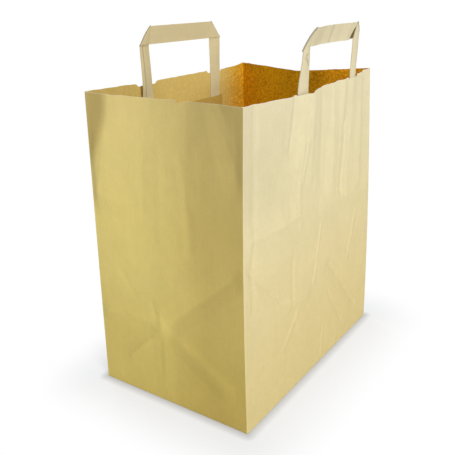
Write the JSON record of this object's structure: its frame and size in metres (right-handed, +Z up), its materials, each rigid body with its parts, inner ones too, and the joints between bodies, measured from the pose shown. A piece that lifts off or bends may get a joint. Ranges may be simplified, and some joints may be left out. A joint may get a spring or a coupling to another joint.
{
  "type": "paper_carrier_bag",
  "caption": "Plain kraft paper carrier bag standing open, with a block bottom, inward side gussets and flat folded paper handles.",
  "frame": {"origin": "middle of the base, on its underside", "axes": "+Z up towards the mouth, +X along the front panel, +Y from the front panel to the back panel"},
  "size_m": [0.2629, 0.1842, 0.3403],
  "materials": {
    "kraft_sheet": "matt ribbed kraft, unbleached",
    "handle_kraft_pale": "matt kraft strip, pressed plies",
    "handle_kraft_tan": "matt kraft strip, pressed plies",
    "patch_kraft": "matt greyish kraft"
  },
  "bodies": {
    "root": {"bag_body": "kraft_sheet", "front_handle": "handle_kraft_pale", "back_handle": "handle_kraft_tan", "front_handle_patch": "patch_kraft", "back_handle_patch": "patch_kraft"}
  },
  "joints": []
}
